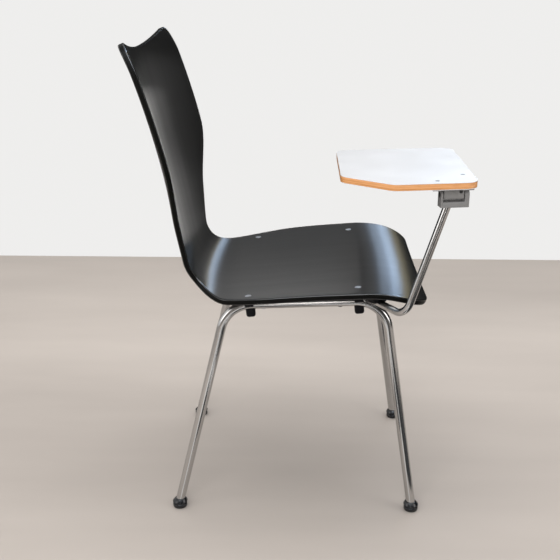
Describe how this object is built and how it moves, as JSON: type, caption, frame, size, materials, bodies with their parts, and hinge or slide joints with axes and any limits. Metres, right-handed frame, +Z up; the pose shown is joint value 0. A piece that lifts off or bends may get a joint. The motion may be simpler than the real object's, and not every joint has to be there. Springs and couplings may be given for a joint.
{
  "type": "tablet arm chair",
  "caption": "Stacking chair with a black bent plywood shell on chrome tube legs and a white writing tablet that folds up on an arm at the sitter's right.",
  "frame": {"origin": "on the floor, midway between the four feet, in the shell's mirror plane", "axes": "+X forward, out of the seat's front; +Y to the sitter's left, away from the tablet arm; +Z up"},
  "size_m": [0.5756, 0.5404, 0.8639],
  "materials": {
    "black_lacquered_ply": "black satin lacquer over bent plywood, fine fore and aft grain",
    "chrome_tube": "polished chrome plate",
    "black_plastic": "moulded black plastic, slight sheen",
    "steel_screws": "bright zinc plated, low domed heads",
    "brass_inserts": "plain",
    "grey_hinge_casting": "die cast, mid grey, satin",
    "steel_pin": "plain steel",
    "nylon_bearing": "dark nylon",
    "rubber_stop": "matt",
    "beech_ply": "clear lacquered ply edge",
    "white_laminate": "white laminate, satin",
    "dark_screws": "dark, countersunk"
  },
  "bodies": {
    "chair": {"seat_shell": "black_lacquered_ply", "side_frame_right": "chrome_tube", "side_frame_left": "chrome_tube", "rear_cross_tube": "chrome_tube", "front_cross_tube": "chrome_tube", "tablet_arm": "chrome_tube", "seat_saddle_front_right": "black_plastic", "seat_saddle_rear_right": "black_plastic", "seat_saddle_front_left": "black_plastic", "seat_saddle_rear_left": "black_plastic", "stacking_bumper_front_right": "black_plastic", "stacking_bumper_rear_right": "black_plastic", "stacking_bumper_front_left": "black_plastic", "stacking_bumper_rear_left": "black_plastic", "foot_cap_front_right": "black_plastic", "foot_cap_rear_right": "black_plastic", "foot_cap_front_left": "black_plastic", "foot_cap_rear_left": "black_plastic", "glide_pad_front_right": "black_plastic", "glide_pad_rear_right": "black_plastic", "glide_pad_front_left": "black_plastic", "glide_pad_rear_left": "black_plastic", "arm_saddle": "black_plastic", "seat_screws": "steel_screws", "seat_inserts": "brass_inserts", "hinge_yoke": "grey_hinge_casting", "hinge_pin": "steel_pin", "hinge_washers": "nylon_bearing", "stop_pads": "rubber_stop"},
    "tablet": {"hinge_leaf": "grey_hinge_casting", "hinge_bush": "nylon_bearing", "hinge_grub_screw": "steel_pin", "tablet_backing": "white_laminate", "tablet_board": "beech_ply", "tablet_laminate": "white_laminate", "tablet_screws": "dark_screws"}
  },
  "joints": [
    {"name": "tablet_fold", "type": "hinge", "parent": "chair", "child": "tablet", "pos_m": [0.248, -0.2624, 0.6375], "axis": [0.9882, 0.153, 0], "range_deg": [0, 95]}
  ]
}
